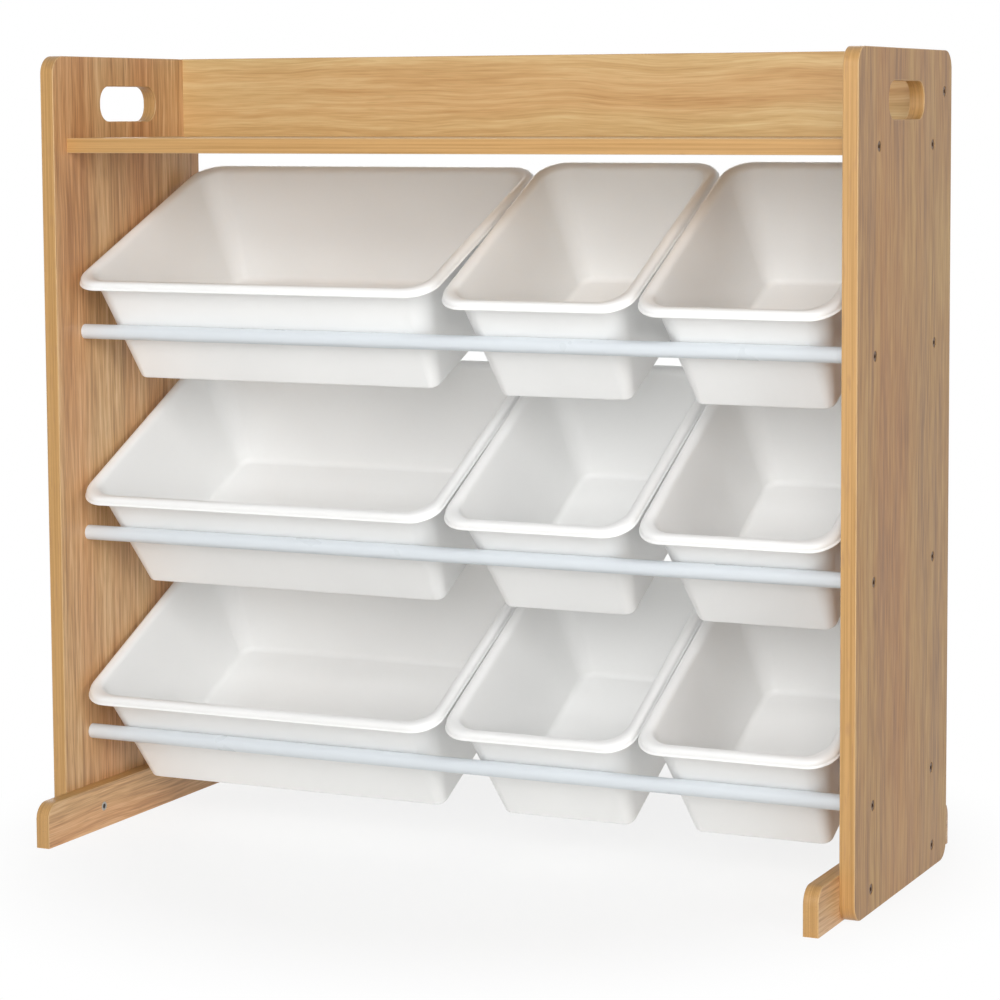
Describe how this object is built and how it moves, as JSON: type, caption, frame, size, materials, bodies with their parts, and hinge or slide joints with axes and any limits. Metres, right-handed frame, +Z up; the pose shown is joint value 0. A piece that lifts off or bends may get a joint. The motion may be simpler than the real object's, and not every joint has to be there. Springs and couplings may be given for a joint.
{
  "type": "toy storage organizer with bins",
  "caption": "Open wood-grain rack with a raised tray shelf, slotted side panels and tilted open white plastic bins resting on cross rods.",
  "frame": {"origin": "on the floor, under the middle of the rack", "axes": "+X to the right seen from the front, +Y to the back, +Z up"},
  "size_m": [0.857, 0.381, 0.787],
  "materials": {
    "side_laminate": "light oak wood-grain laminate on board, satin",
    "cross_laminate": "light oak wood-grain laminate on board, grain along the width, satin",
    "foot_laminate": "light oak wood-grain laminate on board, grain along the foot, satin",
    "rod_tube": "cool white powder coat on steel tube, satin",
    "plug_plastic": "moulded plastic",
    "bin_plastic": "off-white moulded polypropylene, satin",
    "screw_metal": "brown coated steel screw head",
    "insert_metal": "plain zinc-plated steel",
    "dowel_wood": "plain beech"
  },
  "bodies": {
    "frame": {"left_side_panel": "side_laminate", "right_side_panel": "side_laminate", "top_shelf": "cross_laminate", "back_panel": "cross_laminate", "left_foot": "foot_laminate", "right_foot": "foot_laminate", "front_rod_top": "rod_tube", "rear_rod_top": "rod_tube", "front_rod_middle": "rod_tube", "rear_rod_middle": "rod_tube", "front_rod_bottom": "rod_tube", "rear_rod_bottom": "rod_tube", "rod_plugs_left": "plug_plastic", "rod_plugs_right": "plug_plastic", "shelf_screws": "screw_metal", "back_panel_screws": "screw_metal", "rod_screws": "screw_metal", "foot_bolts": "screw_metal", "foot_inserts": "insert_metal", "shelf_dowels": "dowel_wood", "back_panel_dowels": "dowel_wood"},
    "big_bin_top": {"big_bin_top": "bin_plastic"},
    "centre_bin_top": {"centre_bin_top": "bin_plastic"},
    "right_bin_top": {"right_bin_top": "bin_plastic"},
    "big_bin_middle": {"big_bin_middle": "bin_plastic"},
    "centre_bin_middle": {"centre_bin_middle": "bin_plastic"},
    "right_bin_middle": {"right_bin_middle": "bin_plastic"},
    "big_bin_bottom": {"big_bin_bottom": "bin_plastic"},
    "centre_bin_bottom": {"centre_bin_bottom": "bin_plastic"},
    "right_bin_bottom": {"right_bin_bottom": "bin_plastic"}
  },
  "joints": [
    {"name": "big_bin_top_tip", "type": "hinge", "parent": "frame", "child": "big_bin_top", "pos_m": [0, 0.087, 0.51], "axis": [-1, 0, 0], "range_deg": [0, 23.9]},
    {"name": "centre_bin_top_tip", "type": "hinge", "parent": "frame", "child": "centre_bin_top", "pos_m": [0, 0.087, 0.51], "axis": [-1, 0, 0], "range_deg": [0, 27.4]},
    {"name": "right_bin_top_tip", "type": "hinge", "parent": "frame", "child": "right_bin_top", "pos_m": [0, 0.087, 0.51], "axis": [-1, 0, 0], "range_deg": [0, 28.2]},
    {"name": "big_bin_middle_tip", "type": "hinge", "parent": "frame", "child": "big_bin_middle", "pos_m": [0, 0.087, 0.3045], "axis": [-1, 0, 0], "range_deg": [0, 27.8]},
    {"name": "centre_bin_middle_tip", "type": "hinge", "parent": "frame", "child": "centre_bin_middle", "pos_m": [0, 0.087, 0.3045], "axis": [-1, 0, 0], "range_deg": [0, 29]},
    {"name": "right_bin_middle_tip", "type": "hinge", "parent": "frame", "child": "right_bin_middle", "pos_m": [0, 0.087, 0.3045], "axis": [-1, 0, 0], "range_deg": [0, 30]},
    {"name": "big_bin_bottom_tip", "type": "hinge", "parent": "frame", "child": "big_bin_bottom", "pos_m": [0, 0.087, 0.099], "axis": [-1, 0, 0], "range_deg": [0, 27.2]},
    {"name": "centre_bin_bottom_tip", "type": "hinge", "parent": "frame", "child": "centre_bin_bottom", "pos_m": [0, 0.087, 0.099], "axis": [-1, 0, 0], "range_deg": [0, 28.1]},
    {"name": "right_bin_bottom_tip", "type": "hinge", "parent": "frame", "child": "right_bin_bottom", "pos_m": [0, 0.087, 0.099], "axis": [-1, 0, 0], "range_deg": [0, 27]}
  ]
}
